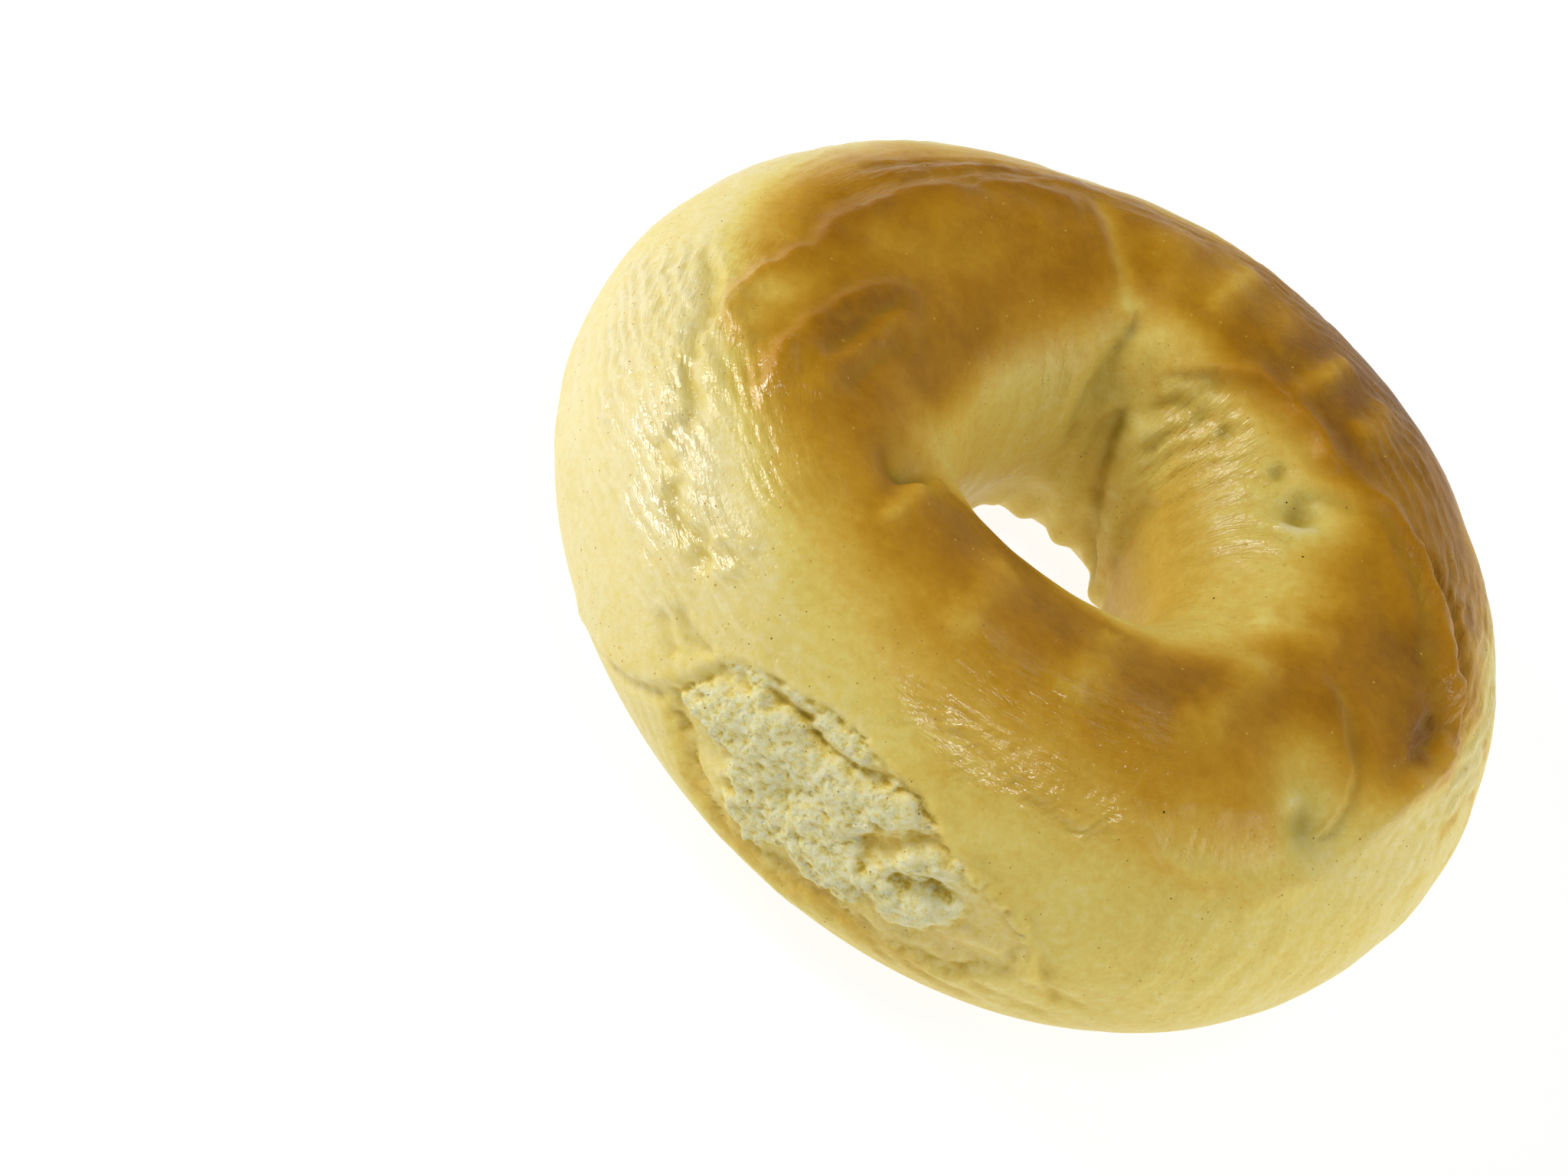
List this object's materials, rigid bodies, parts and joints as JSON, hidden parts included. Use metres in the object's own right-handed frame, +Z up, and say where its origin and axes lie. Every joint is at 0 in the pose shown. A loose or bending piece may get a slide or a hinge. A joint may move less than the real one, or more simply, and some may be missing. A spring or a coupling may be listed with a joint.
{
  "type": "bagel",
  "caption": "Ring-shaped plain bagel with a glossy browned crust, a small off-round hole and a flat base to lie on.",
  "frame": {"origin": "under the middle of the bagel's bounding box, on the plane of its flat base", "axes": "+Z up through the hole, from the base to the crest; +X to the right and -Y towards the viewer, on the side with the torn crust"},
  "size_m": [0.1236, 0.1164, 0.0432],
  "materials": {
    "crust": "satin"
  },
  "bodies": {
    "root": {"bagel": "crust"}
  },
  "joints": []
}
